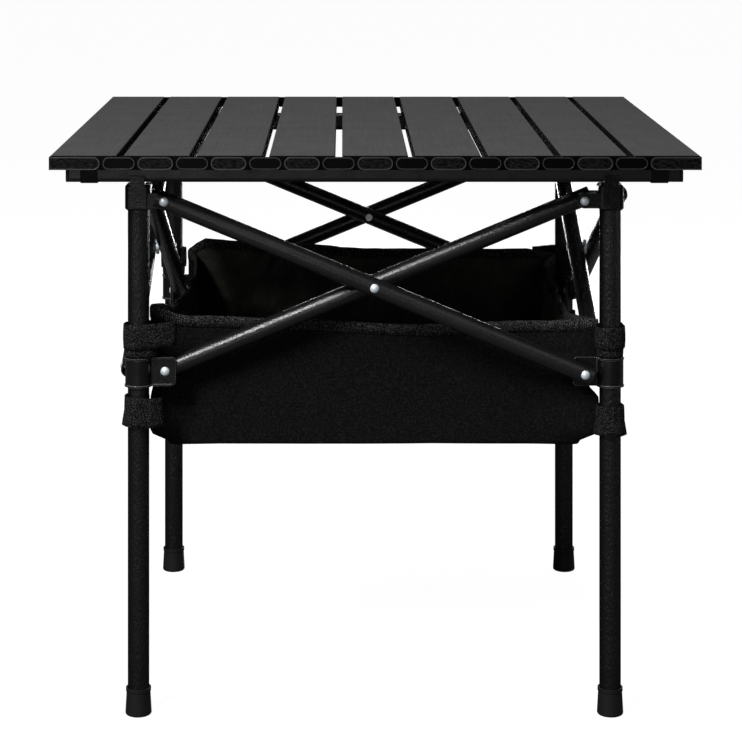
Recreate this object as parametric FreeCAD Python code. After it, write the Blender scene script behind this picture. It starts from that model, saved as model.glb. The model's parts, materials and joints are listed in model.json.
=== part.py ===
"""Roll-top folding camp kitchen table, written for FreeCAD 1.1. Sizes in millimetres.

The table stands on four legs joined by a scissor pair on every side. Each scissor has an outer
bar and an inner bar: both are pinned to nylon hubs on the leg tops and to steel collars that
slide on the legs. Two loose rails lie in saddles on the hubs, and a chain of aluminium slats lies
on the rails. A fabric bag hangs from the legs by webbing straps.

Frame: +Z up, origin on the floor under the middle of the table. X runs along the row of slats and
Y along each slat. The four sides are one module turned by quarter turns about Z: side 0 faces -Y
(front), 1 faces +X (right), 2 faces +Y (back), 3 faces -X (left). Corner k is at the left end
of side k, seen from outside.
"""

import FreeCAD
import Part
import math
import os

Vector = FreeCAD.Vector
X_AXIS, Y_AXIS, Z_AXIS = Vector(1, 0, 0), Vector(0, 1, 0), Vector(0, 0, 1)

# ---- driving dimensions ----
TOP_WIDTH = 560.0
TOP_DEPTH = 540.0
TOP_HEIGHT = 500.0
LEG_SPACING = 417.0

SLAT_COUNT = 9
SLAT_GAP = 6.0
SLAT_THICKNESS = 12.0
SLAT_WALL = 1.3
SLAT_LIP = 7.0
SLAT_EDGE_RADIUS = 1.2
SLAT_RIB_HEIGHT = 3.5
SLAT_RIB_THICKNESS = 1.2

CAP_BOSS = 4.0
CAP_PLATE = 3.0
CAP_PLUG = 12.0
CAP_PLUG_DROP = 4.0
CAP_BOSS_LENGTH = 30.5
CAP_BOSS_RADIUS = 5.5
LINK_PIN_INSET = 5.5
LINK_RADIUS = 5.3
LINK_THICKNESS = 3.3
LINK_PIN_RADIUS = 2.0
RIM_WIDTH = 1.0
RIM_DEPTH = 0.5

RAIL_SIZE = 17.0
RAIL_WALL = 1.4
RAIL_RADIUS = 4.0
RAIL_HALF_LENGTH = 272.0
RAIL_CAP = 3.0
RAIL_PLUG = 12.0
RAIL_TOP_GAP = 0.3
GRIP_WIDTH = 15.0
GRIP_THICKNESS = 1.0
GRIP_OPENING = 4.5

LEG_RADIUS = 9.5
LEG_WALL = 1.2
FOOT_HEIGHT = 24.0
FOOT_SOLE = 5.0
FOOT_TOP_RADIUS = 10.6
FOOT_BASE_RADIUS = 11.6

HUB_SIZE = 22.5
HUB_BOTTOM = 446.4
HUB_TOP = 468.7
HUB_ROOF = 5.2
HUB_CORNER = 4.0
HUB_CHAMFER = 1.6
EAR_HEIGHT = 13.0
TONGUE_THICKNESS = 3.8
SADDLE_WIDTH = 13.0
SADDLE_DEPTH = 6.0
SADDLE_CLEARANCE = 0.3

BAR_LENGTH = 400.0
BAR_RADIUS = 8.0
BAR_WALL = 1.5
BAR_END = 7.5
PIVOT_INSET = 23.5
UPPER_PIVOT_Z = 454.8
BAR_OFFSET = 9.3
SLOT_WIDTH = 4.3
SLOT_PAST_PIVOT = 9.5
RIVET_SEAT = 0.9
RIVET_SEAT_CLEARANCE = 0.3

COLLAR_RADIUS = 11.75
COLLAR_HEIGHT = 25.4
COLLAR_RIM = 0.6
EAR_REACH = 33.0
EAR_THICKNESS = 2.4
EAR_CORNER = 4.0
FLANGE_REACH = 1.6
FLANGE_HEIGHT = 1.5

RIVET_RADIUS = 2.5
RIVET_HEAD_RADIUS = 4.0
RIVET_HEAD_HEIGHT = 2.0
RIVET_TAIL_RADIUS = 3.6
RIVET_TAIL_HEIGHT = 1.2
WASHER_RADIUS = 7.0
WASHER_THICKNESS = 2.5

RUNNING_CLEARANCE = 0.05
FITTING_CLEARANCE = 0.1
SLIDING_CLEARANCE = 0.25
BEYOND = 20.0  # how far a cut starts outside the piece it must pass right through

BAG_HALF_WIDTH = 186.0
BAG_BOTTOM = 232.0
BAG_TOP = 346.0
BAG_FABRIC = 2.0
BAG_CORNER_GAP = 2.5
STRAP_WIDTH = 22.0
STRAP_THICKNESS = 1.8
STRAP_HEIGHTS = (336.0, 269.5)
STRAP_TAIL = 14.0

# ---- worked out from them ----
SLAT_WIDTH = (TOP_WIDTH - (SLAT_COUNT - 1) * SLAT_GAP) / SLAT_COUNT
SLAT_PITCH = SLAT_WIDTH + SLAT_GAP
SLAT_MID_Z = TOP_HEIGHT - SLAT_THICKNESS / 2
PLATE_FRONT = TOP_DEPTH / 2 - CAP_BOSS
SLAT_END = PLATE_FRONT - CAP_PLATE
HALF_SPACING = LEG_SPACING / 2
PIVOT_SPAN = LEG_SPACING - 2 * PIVOT_INSET
LOWER_PIVOT_Z = UPPER_PIVOT_Z - math.sqrt(BAR_LENGTH**2 - PIVOT_SPAN**2)
BAR_ANGLE = math.degrees(math.asin((UPPER_PIVOT_Z - LOWER_PIVOT_Z) / BAR_LENGTH))
CROSSING = Vector(0, 0, (UPPER_PIVOT_Z + LOWER_PIVOT_Z) / 2)
RAIL_TOP = TOP_HEIGHT - SLAT_THICKNESS - RAIL_TOP_GAP
RAIL_BOTTOM = RAIL_TOP - RAIL_SIZE
SEAT_DEPTH = BAR_RADIUS - RIVET_SEAT
EAR_FACE = EAR_THICKNESS / 2
PIVOT_HOLE_RADIUS = RIVET_RADIUS + RUNNING_CLEARANCE
COLLAR_BORE_RADIUS = LEG_RADIUS + SLIDING_CLEARANCE
COLLAR_ROOT = (COLLAR_BORE_RADIUS + COLLAR_RADIUS) / 2

SIDES = ("front", "right", "back", "left")
CORNERS = ("front_left", "front_right", "back_right", "back_left")


# ---- helpers ----
def box(x0, x1, y0, y1, z0, z1):
    """A box between two corners."""
    return Part.makeBox(x1 - x0, y1 - y0, z1 - z0, Vector(x0, y0, z0))


def cylinder(radius, start, axis, length):
    return Part.makeCylinder(radius, length, start, axis)


def turned(shape, side):
    """The shape turned about Z from side 0 to another side."""
    copy = shape.copy()
    copy.rotate(Vector(0, 0, 0), Z_AXIS, 90 * side)
    return copy


def moved(shape, x=0.0, y=0.0, z=0.0):
    copy = shape.copy()
    copy.translate(Vector(x, y, z))
    return copy


def edges_along(shape, axis):
    """The straight edges of a shape that run along an axis."""
    found = []
    for edge in shape.Edges:
        direction = edge.Vertexes[-1].Point - edge.Vertexes[0].Point
        if direction.Length > 1e-6 and direction.normalize().cross(axis).Length < 1e-6:
            found.append(edge)
    return found


def rounded_box(x0, x1, y0, y1, z0, z1, radius, axis):
    """A box whose edges along one axis are rounded."""
    block = box(x0, x1, y0, y1, z0, z1)
    return block.makeFillet(radius, edges_along(block, axis))


def capsule(x_left, x_right, radius, y0, y1, z):
    """A bar with round ends, lying along X, whose end centres are x_left and x_right."""
    body = box(x_left, x_right, y0, y1, z - radius, z + radius)
    for x in (x_left, x_right):
        body = body.fuse(cylinder(radius, Vector(x, y0, z), Y_AXIS, y1 - y0))
    return body.removeSplitter()


def save(name, solids):
    """Writes one node, made of one solid or a group of separate solids."""
    found = [solid for shape in solids for solid in shape.Solids]
    whole = found[0] if len(found) == 1 else Part.makeCompound(found)
    whole.exportStep(os.path.join("parts", name + ".step"))


# ---- table top ----
def slat_centre(index):
    return -TOP_WIDTH / 2 + SLAT_WIDTH / 2 + index * SLAT_PITCH


def slat(index):
    """An open aluminium channel with inward lips and two stiffening ribs under its top."""
    x = slat_centre(index)
    half, bottom, top = SLAT_WIDTH / 2, TOP_HEIGHT - SLAT_THICKNESS, TOP_HEIGHT
    body = box(x - half, x + half, -SLAT_END, SLAT_END, bottom, top)
    upper = [e for e in edges_along(body, Y_AXIS) if e.Vertexes[0].Z > SLAT_MID_Z]
    body = body.makeFillet(SLAT_EDGE_RADIUS, upper)
    inner = half - SLAT_WALL
    ceiling, floor = top - SLAT_WALL, bottom + SLAT_WALL
    body = body.cut(box(x - inner, x + inner, -SLAT_END, SLAT_END, floor, ceiling))
    opening = inner - SLAT_LIP
    body = body.cut(box(x - opening, x + opening, -SLAT_END, SLAT_END, bottom, floor))
    for rib_x in (x - SLAT_WIDTH / 5, x + SLAT_WIDTH / 5):
        left, right = rib_x - SLAT_RIB_THICKNESS / 2, rib_x + SLAT_RIB_THICKNESS / 2
        body = body.fuse(box(left, right, -SLAT_END, SLAT_END, ceiling - SLAT_RIB_HEIGHT, ceiling))
    return body.removeSplitter()


def rimmed(shape, x_left, x_right, radius, y_face):
    """Sinks a shallow capsule field into a -Y face, which leaves a rim around it."""
    field = capsule(x_left, x_right, radius - RIM_WIDTH, y_face, y_face + RIM_DEPTH, SLAT_MID_Z)
    return shape.cut(field)


def end_cap(index):
    """The moulded cap in the -Y end of a slat: plate, plug and a capsule boss between the links.
    On the two outer slats the boss runs out square at the table's edge."""
    x = slat_centre(index)
    half, bottom, top = SLAT_WIDTH / 2, TOP_HEIGHT - SLAT_THICKNESS, TOP_HEIGHT
    plate = box(x - half, x + half, -PLATE_FRONT, -SLAT_END, bottom, top)
    upper = [e for e in edges_along(plate, Y_AXIS) if e.Vertexes[0].Z > SLAT_MID_Z]
    cap = plate.makeFillet(SLAT_EDGE_RADIUS, upper)
    inner = half - SLAT_WALL - FITTING_CLEARANCE
    plug_bottom, plug_top = bottom + SLAT_WALL + FITTING_CLEARANCE, top - SLAT_WALL - CAP_PLUG_DROP
    cap = cap.fuse(box(x - inner, x + inner, -SLAT_END, -SLAT_END + CAP_PLUG, plug_bottom, plug_top))
    is_outer = {-1: index == 0, 1: index == SLAT_COUNT - 1}
    boss_ends = []
    for side in (-1, 1):
        reach = half + CAP_BOSS_RADIUS if is_outer[side] else CAP_BOSS_LENGTH / 2 - CAP_BOSS_RADIUS
        boss_ends.append(x + side * reach)
    face = -PLATE_FRONT - CAP_BOSS
    boss = capsule(*boss_ends, CAP_BOSS_RADIUS, face, -PLATE_FRONT, SLAT_MID_Z)
    boss = rimmed(boss, *boss_ends, CAP_BOSS_RADIUS, face)
    cap = cap.fuse(boss.common(box(x - half, x + half, face, -PLATE_FRONT, bottom, top)))
    for side in (-1, 1):
        if not is_outer[side]:
            start = Vector(x + side * (half - LINK_PIN_INSET), -PLATE_FRONT, SLAT_MID_Z)
            cap = cap.cut(cylinder(LINK_PIN_RADIUS + RUNNING_CLEARANCE, start, Y_AXIS, CAP_PLATE))
    return cap.removeSplitter()


def link(gap):
    """The capsule link over a gap, with two pins moulded on: it joins slat gap and slat gap + 1."""
    x = slat_centre(gap) + SLAT_PITCH / 2
    reach = SLAT_GAP / 2 + LINK_PIN_INSET
    back = -PLATE_FRONT - FITTING_CLEARANCE
    face = back - LINK_THICKNESS
    body = capsule(x - reach, x + reach, LINK_RADIUS, face, back, SLAT_MID_Z)
    body = rimmed(body, x - reach, x + reach, LINK_RADIUS, face)
    pin_length = CAP_PLATE - FITTING_CLEARANCE
    for pin in (x - reach, x + reach):
        body = body.fuse(cylinder(LINK_PIN_RADIUS, Vector(pin, back, SLAT_MID_Z), Y_AXIS, pin_length))
    return body.removeSplitter()


def both_ends(shape):
    """A -Y end piece and its mirror image at the +Y end."""
    return [shape, shape.mirror(Vector(0, 0, 0), Y_AXIS)]


# ---- rails ----
def rail_bar(y, x0, x1, growth):
    """A bar along X with the rail's rounded section, grown by an amount on every face."""
    half = RAIL_SIZE / 2 + growth
    bottom, top = RAIL_BOTTOM - growth, RAIL_TOP + growth
    return rounded_box(x0, x1, y - half, y + half, bottom, top, RAIL_RADIUS + growth, X_AXIS)


def rail(y):
    length = RAIL_HALF_LENGTH - RAIL_CAP
    return rail_bar(y, -length, length, 0.0).cut(rail_bar(y, -length, length, -RAIL_WALL))


def rail_fittings(y):
    """Two end plugs and two rubber grips that wrap the rail's front, underside and back."""
    length = RAIL_HALF_LENGTH - RAIL_CAP
    pieces = []
    for side in (-1, 1):
        flange = rail_bar(y, *sorted((side * length, side * RAIL_HALF_LENGTH)), 0.0)
        ends = sorted((side * (length - RAIL_PLUG), side * length))
        pieces.append(flange.fuse(rail_bar(y, *ends, -RAIL_WALL - FITTING_CLEARANCE)))
        centre = side * abs(slat_centre(0))
        start, stop = centre - GRIP_WIDTH / 2, centre + GRIP_WIDTH / 2
        grip = rail_bar(y, start, stop, GRIP_THICKNESS)
        grip = grip.cut(rail_bar(y, start, stop, RUNNING_CLEARANCE))
        opening = box(start, stop, y - BEYOND, y + BEYOND, RAIL_TOP - GRIP_OPENING, RAIL_TOP + BEYOND)
        pieces.append(grip.cut(opening))
    return pieces


# ---- legs: built at corner 0 on the leg's axis, then turned and moved into place ----
def corner_point(corner):
    signs = ((-1, -1), (1, -1), (1, 1), (-1, 1))[corner]
    return signs[0] * HALF_SPACING, signs[1] * HALF_SPACING


def at_corner(shape, corner):
    x, y = corner_point(corner)
    return moved(turned(shape, corner), x, y)


def leg_tube():
    """The leg's tube, a little short of the foot's sole and of the hub's roof."""
    bottom, top = FOOT_SOLE + FITTING_CLEARANCE, HUB_TOP - HUB_ROOF - FITTING_CLEARANCE
    outer = cylinder(LEG_RADIUS, Vector(0, 0, bottom), Z_AXIS, top - bottom)
    return outer.cut(cylinder(LEG_RADIUS - LEG_WALL, Vector(0, 0, bottom), Z_AXIS, top - bottom))


def foot():
    """A turned rubber foot with a rolled base and a thin lip at its mouth."""
    lip, lip_height, roll = 0.5, 3.5, 2.0
    points = [
        Vector(0, 0, 0),
        Vector(FOOT_BASE_RADIUS - roll, 0, 0),
        Vector(FOOT_BASE_RADIUS, 0, roll),
        Vector(FOOT_TOP_RADIUS, 0, FOOT_HEIGHT - lip_height),
        Vector(FOOT_TOP_RADIUS + lip, 0, FOOT_HEIGHT - lip_height + lip),
        Vector(FOOT_TOP_RADIUS + lip, 0, FOOT_HEIGHT),
        Vector(LEG_RADIUS + RUNNING_CLEARANCE, 0, FOOT_HEIGHT),
        Vector(LEG_RADIUS + RUNNING_CLEARANCE, 0, FOOT_SOLE),
        Vector(0, 0, FOOT_SOLE),
    ]
    arc_inset = roll * (1 - math.sqrt(0.5))
    arc_middle = Vector(FOOT_BASE_RADIUS - arc_inset, 0, arc_inset)
    edges = [Part.makeLine(points[0], points[1]), Part.Arc(points[1], arc_middle, points[2]).toShape()]
    for start, stop in zip(points[2:], points[3:] + points[:1]):
        edges.append(Part.makeLine(start, stop))
    return Part.Face(Part.Wire(edges)).revolve(Vector(0, 0, 0), Z_AXIS, 360)


def ear(y0, y1, reach, height):
    """A plate with a round end that sticks out along +X from the leg's axis at the upper pivot."""
    tip = reach - height / 2
    root = HUB_SIZE / 2 - HUB_CORNER / 2
    plate = box(root, tip, y0, y1, UPPER_PIVOT_Z - height / 2, UPPER_PIVOT_Z + height / 2)
    return plate.fuse(cylinder(height / 2, Vector(tip, y0, UPPER_PIVOT_Z), Y_AXIS, y1 - y0))


def pivot_holes(z):
    """The two holes through a hub or collar: one for each side's rivet."""
    along_y = cylinder(PIVOT_HOLE_RADIUS, Vector(PIVOT_INSET, -BEYOND, z), Y_AXIS, 2 * BEYOND)
    along_x = cylinder(PIVOT_HOLE_RADIUS, Vector(-BEYOND, PIVOT_INSET, z), X_AXIS, 2 * BEYOND)
    return Part.makeCompound([along_y, along_x])


def hub():
    """The nylon hub on a leg's top, without its saddle. A tongue towards +X enters the slot of
    the outer bar of its own side. A tongue and a thick lug towards +Y hold the inner bar of the
    side before."""
    half = HUB_SIZE / 2
    body = rounded_box(-half, half, -half, half, HUB_BOTTOM, HUB_TOP, HUB_CORNER, Z_AXIS)
    rims = [e for e in body.Edges if abs(e.BoundBox.ZMax - e.BoundBox.ZMin) < 1e-6]
    body = body.makeChamfer(HUB_CHAMFER, rims)
    reach = PIVOT_INSET + EAR_HEIGHT / 2
    half_tongue = TONGUE_THICKNESS / 2
    body = body.fuse(ear(-BAR_OFFSET - half_tongue, -BAR_OFFSET + half_tongue, reach, EAR_HEIGHT))
    # The side before meets this corner from the other hand: its plates are made along +X as seen
    # from that side, mirrored to -X, then turned a quarter turn back.
    lug_back = BAR_OFFSET - BAR_RADIUS - SLIDING_CLEARANCE
    for y0, y1 in ((BAR_OFFSET - half_tongue, BAR_OFFSET + half_tongue), (-half, lug_back)):
        plate = ear(y0, y1, reach, EAR_HEIGHT).mirror(Vector(0, 0, 0), X_AXIS)
        body = body.fuse(turned(plate, -1))
    body = body.cut(pivot_holes(UPPER_PIVOT_Z))
    bore_length = HUB_TOP - HUB_ROOF - HUB_BOTTOM
    bore_radius = LEG_RADIUS + RUNNING_CLEARANCE
    body = body.cut(cylinder(bore_radius, Vector(0, 0, HUB_BOTTOM), Z_AXIS, bore_length))
    return body.removeSplitter()


def saddle():
    """The fork on a hub that cradles a rail lying along X. It stands the same way on every hub."""
    half, inner = HUB_SIZE / 2, RAIL_SIZE / 2 + SADDLE_CLEARANCE
    floor, top = RAIL_BOTTOM - SADDLE_CLEARANCE, RAIL_BOTTOM + SADDLE_DEPTH
    x0, x1 = -SADDLE_WIDTH / 2, SADDLE_WIDTH / 2
    block = box(x0, x1, -half, half, HUB_TOP - HUB_CHAMFER, top)
    return block.cut(rounded_box(x0, x1, -inner, inner, floor, top + BEYOND, RAIL_RADIUS, X_AXIS))


def hub_at(corner):
    x, y = corner_point(corner)
    return moved(turned(hub(), corner).fuse(saddle()), x, y).removeSplitter()


def collar_ear(flange_side):
    """A steel ear along +X, in the plane of the leg's axis, with flanges on its top and bottom."""
    half_height = COLLAR_HEIGHT / 2
    z0, z1 = LOWER_PIVOT_Z - half_height, LOWER_PIVOT_Z + half_height
    plate = box(COLLAR_ROOT, EAR_REACH, -EAR_FACE, EAR_FACE, z0, z1)
    tips = [e for e in edges_along(plate, Y_AXIS) if e.Vertexes[0].X > COLLAR_RADIUS]
    plate = plate.makeFillet(EAR_CORNER, tips)
    outer = flange_side * (EAR_FACE + FLANGE_REACH)
    y0, y1 = sorted((0.0, outer))
    tip = EAR_REACH - EAR_CORNER
    for z in (z0, z1 - FLANGE_HEIGHT):
        plate = plate.fuse(box(COLLAR_ROOT, tip, y0, y1, z, z + FLANGE_HEIGHT))
    return plate


def collar():
    """The sliding steel collar with its two ears, for corner 0. The ear along +X holds the inner
    bar behind it, and the ear along +Y holds the outer bar of the side before."""
    z0 = LOWER_PIVOT_Z - COLLAR_HEIGHT / 2
    body = cylinder(COLLAR_RADIUS, Vector(0, 0, z0), Z_AXIS, COLLAR_HEIGHT)
    for z in (z0, z0 + COLLAR_HEIGHT - FLANGE_HEIGHT):
        body = body.fuse(cylinder(COLLAR_RADIUS + COLLAR_RIM, Vector(0, 0, z), Z_AXIS, FLANGE_HEIGHT))
    body = body.fuse(collar_ear(-1))
    other = collar_ear(1).mirror(Vector(0, 0, 0), X_AXIS)
    body = body.fuse(turned(other, -1))
    body = body.cut(pivot_holes(LOWER_PIVOT_Z))
    body = body.cut(cylinder(COLLAR_BORE_RADIUS, Vector(0, 0, z0), Z_AXIS, COLLAR_HEIGHT))
    return body.removeSplitter()


def straps():
    """Two webbing loops, above and below the collar, each with a tail towards the bag's corner."""
    inner = COLLAR_BORE_RADIUS
    outer = inner + STRAP_THICKNESS
    loops = []
    for z in STRAP_HEIGHTS:
        z0 = z - STRAP_WIDTH / 2
        loop = cylinder(outer, Vector(0, 0, z0), Z_AXIS, STRAP_WIDTH)
        tail = box(0, outer + STRAP_TAIL, -STRAP_THICKNESS, STRAP_THICKNESS, z0, z0 + STRAP_WIDTH)
        tail.rotate(Vector(0, 0, 0), Z_AXIS, 45)
        loop = loop.fuse(tail).cut(cylinder(inner, Vector(0, 0, z0), Z_AXIS, STRAP_WIDTH))
        loops.append(loop)
    return Part.makeCompound(loops)


# ---- bars: built for side 0, whose middle plane is the plane of its two leg axes ----
def bar_tube(plane):
    """A level tube along +X with pivots at 0 and BAR_LENGTH. The one at 0 is the upper pivot, where
    a slot lets the hub's tongue in."""
    start = Vector(-BAR_END, plane, 0)
    length = BAR_LENGTH + 2 * BAR_END
    tube = cylinder(BAR_RADIUS, start, X_AXIS, length)
    tube = tube.cut(cylinder(BAR_RADIUS - BAR_WALL, start, X_AXIS, length))
    slot_near, slot_far = plane - SLOT_WIDTH / 2, plane + SLOT_WIDTH / 2
    tube = tube.cut(box(-BAR_END, SLOT_PAST_PIVOT, slot_near, slot_far, -BEYOND, BEYOND))
    seat = RIVET_HEAD_RADIUS + RIVET_SEAT_CLEARANCE
    for x in (0, BAR_LENGTH / 2, BAR_LENGTH):
        tube = tube.cut(cylinder(PIVOT_HOLE_RADIUS, Vector(x, plane - BEYOND, 0), Y_AXIS, 2 * BEYOND))
        tube = tube.cut(cylinder(seat, Vector(x, plane - BEYOND, 0), Y_AXIS, BEYOND - SEAT_DEPTH))
        tube = tube.cut(cylinder(seat, Vector(x, plane + SEAT_DEPTH, 0), Y_AXIS, BEYOND))
    return tube


def tilted(shape, mirrored):
    """Tilts a level bar about its middle so that it falls from left to right, or from right to
    left if mirrored, and puts its middle at the crossing of side 0."""
    shape = moved(shape, -BAR_LENGTH / 2)
    shape.rotate(Vector(0, 0, 0), Y_AXIS, BAR_ANGLE)
    if mirrored:
        shape = shape.mirror(Vector(0, 0, 0), X_AXIS)
    return moved(shape, CROSSING.x, -HALF_SPACING, CROSSING.z)


def rivet(x, z, y_front, y_back):
    """A rivet along Y through a stack whose faces are y_front and y_back: a domed head in front, a
    shank, and a flat tail behind, both just clear of the stack so that it turns freely."""
    head_y, tail_y = y_front - RUNNING_CLEARANCE, y_back + RUNNING_CLEARANCE
    shank = cylinder(RIVET_RADIUS, Vector(x, head_y, z), Y_AXIS, tail_y - head_y)
    sphere_radius = (RIVET_HEAD_RADIUS**2 + RIVET_HEAD_HEIGHT**2) / (2 * RIVET_HEAD_HEIGHT)
    sphere = Part.makeSphere(sphere_radius, Vector(x, head_y - RIVET_HEAD_HEIGHT + sphere_radius, z))
    in_front = box(x - BEYOND, x + BEYOND, head_y - BEYOND, head_y, z - BEYOND, z + BEYOND)
    tail = cylinder(RIVET_TAIL_RADIUS, Vector(x, tail_y, z), Y_AXIS, RIVET_TAIL_HEIGHT)
    return shank.fuse(sphere.common(in_front)).fuse(tail).removeSplitter()


def outer_rivets():
    """Upper, crossing and lower rivets of the outer bar, and the washer between the two bars."""
    front = -BAR_OFFSET - SEAT_DEPTH
    half = PIVOT_SPAN / 2
    pieces = [
        rivet(-half, UPPER_PIVOT_Z, front, -BAR_OFFSET + SEAT_DEPTH),
        rivet(0, CROSSING.z, front, BAR_OFFSET + SEAT_DEPTH),
        rivet(half, LOWER_PIVOT_Z, front, EAR_FACE),
    ]
    start = Vector(0, -WASHER_THICKNESS / 2, CROSSING.z)
    washer = cylinder(WASHER_RADIUS, start, Y_AXIS, WASHER_THICKNESS)
    pieces.append(washer.cut(cylinder(PIVOT_HOLE_RADIUS, start, Y_AXIS, WASHER_THICKNESS)))
    return Part.makeCompound([moved(p, 0, -HALF_SPACING) for p in pieces])


def inner_rivets():
    """Upper and lower rivets of the inner bar: their heads sit on the hub's lug and on the ear."""
    back = BAR_OFFSET + SEAT_DEPTH
    half = PIVOT_SPAN / 2
    pieces = [
        rivet(half, UPPER_PIVOT_Z, -HUB_SIZE / 2, back),
        rivet(-half, LOWER_PIVOT_Z, -EAR_FACE, back),
    ]
    return Part.makeCompound([moved(p, 0, -HALF_SPACING) for p in pieces])


# ---- bag ----
def bag_panels():
    """The base and four side panels of the open-topped bag, with a seam's width between them."""
    half = BAG_HALF_WIDTH
    inset = half - BAG_CORNER_GAP
    panels = [box(-inset, inset, -inset, inset, BAG_BOTTOM, BAG_BOTTOM + BAG_FABRIC)]
    wall = box(-inset, inset, -half, -half + BAG_FABRIC, BAG_BOTTOM, BAG_TOP)
    panels += [turned(wall, side) for side in range(4)]
    return panels


def main():
    os.makedirs("parts", exist_ok=True)
    for index in range(SLAT_COUNT):
        name = f"slat_{index + 1}"
        save(name, [slat(index)])
        if index < SLAT_COUNT - 1:
            save(name + "_end_caps_and_links", both_ends(end_cap(index)) + both_ends(link(index)))
        else:
            save(name + "_end_caps", both_ends(end_cap(index)))
    for name, y in (("front_rail", -HALF_SPACING), ("back_rail", HALF_SPACING)):
        save(name, [rail(y)])
        save(name + "_plugs_and_grips", rail_fittings(y))
    for corner, name in enumerate(CORNERS):
        save(name + "_leg_tube", [at_corner(leg_tube(), corner)])
        save(name + "_foot", [at_corner(foot(), corner)])
        save(name + "_hub", [hub_at(corner)])
        save(name + "_collar", [at_corner(collar(), corner)])
        save(name + "_bag_straps", [at_corner(straps(), corner)])
    for side, name in enumerate(SIDES):
        outer = tilted(bar_tube(-BAR_OFFSET), False)
        inner = tilted(bar_tube(BAR_OFFSET), True)
        save(name + "_outer_bar", [turned(outer, side)])
        save(name + "_inner_bar", [turned(inner, side)])
        save(name + "_outer_bar_rivets", [turned(outer_rivets(), side)])
        save(name + "_inner_bar_rivets", [turned(inner_rivets(), side)])
    save("storage_bag", bag_panels())


main()
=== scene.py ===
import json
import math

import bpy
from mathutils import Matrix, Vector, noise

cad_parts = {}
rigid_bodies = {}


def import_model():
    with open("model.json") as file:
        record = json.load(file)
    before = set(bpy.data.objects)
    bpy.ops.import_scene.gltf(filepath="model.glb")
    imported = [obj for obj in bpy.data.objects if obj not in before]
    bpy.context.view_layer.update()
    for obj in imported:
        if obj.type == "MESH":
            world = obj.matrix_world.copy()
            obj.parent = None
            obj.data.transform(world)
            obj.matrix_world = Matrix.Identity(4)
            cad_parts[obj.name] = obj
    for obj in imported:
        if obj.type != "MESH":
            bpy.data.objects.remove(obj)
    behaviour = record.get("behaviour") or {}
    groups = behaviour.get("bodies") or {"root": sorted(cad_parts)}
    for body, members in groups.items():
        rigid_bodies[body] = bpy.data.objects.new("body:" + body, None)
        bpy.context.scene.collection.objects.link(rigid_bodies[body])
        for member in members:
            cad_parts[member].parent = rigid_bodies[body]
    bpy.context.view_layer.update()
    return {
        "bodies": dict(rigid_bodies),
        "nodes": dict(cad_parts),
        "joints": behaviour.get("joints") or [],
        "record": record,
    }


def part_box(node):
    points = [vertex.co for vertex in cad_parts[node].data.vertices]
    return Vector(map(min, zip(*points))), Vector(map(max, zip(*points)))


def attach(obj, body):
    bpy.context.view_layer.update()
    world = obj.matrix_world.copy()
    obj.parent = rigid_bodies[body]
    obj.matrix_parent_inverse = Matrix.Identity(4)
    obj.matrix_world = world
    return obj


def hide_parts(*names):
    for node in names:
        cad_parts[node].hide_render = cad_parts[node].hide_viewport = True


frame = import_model()

# Looks for the roll-top camp table: coatings on the CAD pieces, and a sewn storage bag, its
# binding and its webbing straps in place of the plain CAD stand-ins. Sizes are in metres. X runs
# along the row of slats, Y along each slat (the front is -Y), and Z up from the floor.

QUARTER_TURN = math.pi / 2

# ---------------------------------------------------------------- places taken from the frame
CORNERS = ("front_left", "front_right", "back_right", "back_left")
CORNER_SIGNS = ((-1, -1), (1, -1), (1, 1), (-1, 1))
LEG_LOW, LEG_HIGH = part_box("front_left_leg_tube")
LEG_AXIS = abs(LEG_LOW.x + LEG_HIGH.x) / 2
LEG_RADIUS = (LEG_HIGH.x - LEG_LOW.x) / 2
BAG_LOW, BAG_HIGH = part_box("storage_bag")
BAG_HALF = BAG_HIGH.x
COLLAR_LOW, COLLAR_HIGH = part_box("front_left_collar")
STRAP_LOW, STRAP_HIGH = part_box("front_left_bag_straps")
FOOT_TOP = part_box("front_left_foot")[1].z
CAP_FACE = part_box("slat_5_end_caps_and_links")[1].y
# How far behind the rims of the slat caps, which stand out furthest, the other faces lie.
CAP_FIELD_DEPTH = 0.0005
LINK_RIM_DEPTH = 0.0006
LINK_FIELD_DEPTH = 0.0011

# ---------------------------------------------------------------- how the frame folds
# Each bar turns about its upper pivot. The legs move in and the collars go down their legs.
JOINTS = {joint["name"]: joint for joint in frame["joints"]}
UPPER_PIVOT = Vector(JOINTS["fold"]["pos_m"])
CROSSING = Vector(JOINTS["front_crossing"]["pos_m"])
HALF_BAR = math.hypot(UPPER_PIVOT.x - CROSSING.x, UPPER_PIVOT.z - CROSSING.z)
OPEN_ANGLE = math.asin((UPPER_PIVOT.z - CROSSING.z) / HALF_BAR)
FOLDED_ANGLE = OPEN_ANGLE + math.radians(max(JOINTS["fold"]["range_deg"]))
LEG_TRAVEL = 2 * HALF_BAR * (math.cos(OPEN_ANGLE) - math.cos(FOLDED_ANGLE))
COLLAR_TRAVEL = 2 * HALF_BAR * (math.sin(FOLDED_ANGLE) - math.sin(OPEN_ANGLE))

# ---------------------------------------------------------------- the storage bag
FABRIC = 0.0012
BAG_CORNER_RADIUS = 0.009
WALL_CLEARANCE = 0.001
POINTS_PER_SIDE = 48
POINTS_PER_HALF_BEND = 4
WALL_ROWS = 30
BASE_RINGS = 14

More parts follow.
